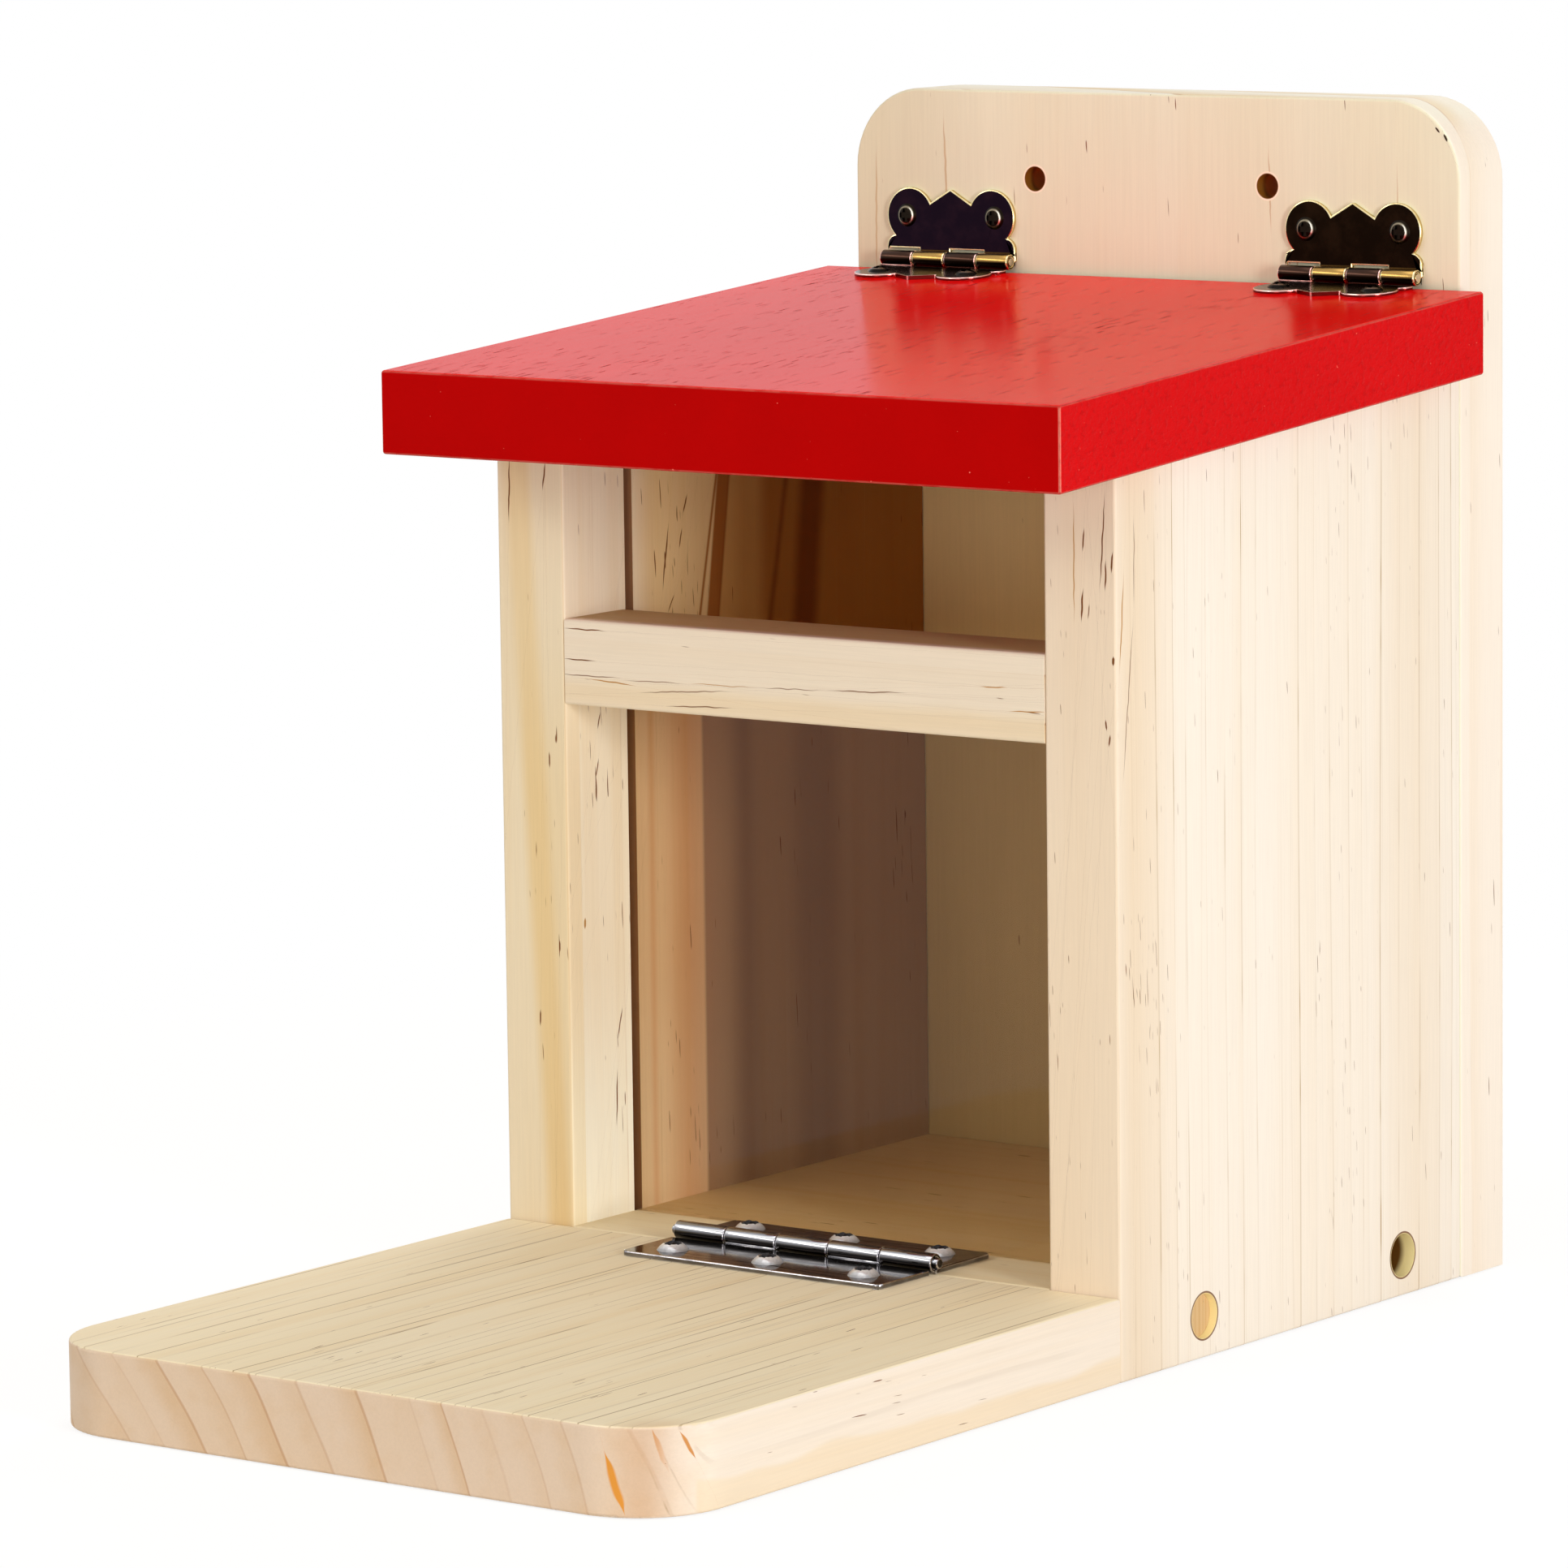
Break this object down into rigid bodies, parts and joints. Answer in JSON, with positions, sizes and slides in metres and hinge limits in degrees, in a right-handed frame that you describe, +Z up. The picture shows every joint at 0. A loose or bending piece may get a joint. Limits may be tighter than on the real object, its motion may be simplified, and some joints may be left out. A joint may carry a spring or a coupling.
{
  "type": "squirrel feeder box",
  "caption": "Small pine squirrel feeder with a lift-up sloped red roof, a clear front panel in grooves, a cross bar and a front deck that folds up; hangs on a wall or post.",
  "frame": {"origin": "on the underside, below the middle of the whole object's box at rest", "axes": "+X to the right of a person who faces the front, +Y from the front towards the wall, +Z up"},
  "size_m": [0.147, 0.2562, 0.216],
  "materials": {
    "pine": "bare sanded pine with fine vertical grain",
    "beech": "bare turned dowel, end grain",
    "red_paint": "satin red paint on pine, grain showing faintly",
    "clear_acrylic": "clear polished acrylic",
    "bronzed_steel": "antique bronze plate, worn bright at the edges",
    "bronzed_screw": "blackened steel screws",
    "bright_zinc": "bright zinc plate",
    "yellow_zinc": "yellow passivated zinc"
  },
  "bodies": {
    "box": {"back_board": "pine", "left_side_panel": "pine", "right_side_panel": "pine", "floor_board": "pine", "crossbar": "pine", "crossbar_dowels": "beech", "left_side_plug": "beech", "right_side_plug": "beech", "left_hinge_back_leaf": "bronzed_steel", "left_hinge_pin": "bronzed_steel", "right_hinge_back_leaf": "bronzed_steel", "right_hinge_pin": "bronzed_steel", "deck_hinge_floor_leaf": "bright_zinc", "deck_hinge_pin": "bright_zinc", "left_back_leaf_screws": "bronzed_screw", "right_back_leaf_screws": "bronzed_screw", "floor_leaf_screws": "bright_zinc", "left_side_screws": "yellow_zinc", "right_side_screws": "yellow_zinc", "back_screws": "yellow_zinc"},
    "roof": {"roof_board": "red_paint", "left_hinge_roof_leaf": "bronzed_steel", "right_hinge_roof_leaf": "bronzed_steel", "left_roof_leaf_screws": "bronzed_screw", "right_roof_leaf_screws": "bronzed_screw"},
    "deck": {"deck_board": "pine", "deck_hinge_deck_leaf": "bright_zinc", "deck_leaf_screws": "bright_zinc"},
    "window": {"window_panel": "clear_acrylic"}
  },
  "joints": [
    {"name": "roof_hinge", "type": "hinge", "parent": "box", "child": "roof", "pos_m": [0, 0.1111, 0.18385], "axis": [-1, 0, 0], "range_deg": [0, 90]},
    {"name": "deck_hinge", "type": "hinge", "parent": "box", "child": "deck", "pos_m": [0, 0.002, 0.017], "axis": [-1, 0, 0], "range_deg": [0, 90]},
    {"name": "window_slide", "type": "slide", "parent": "box", "child": "window", "axis": [0, 0, 1], "range_m": [0, 0.037]}
  ]
}
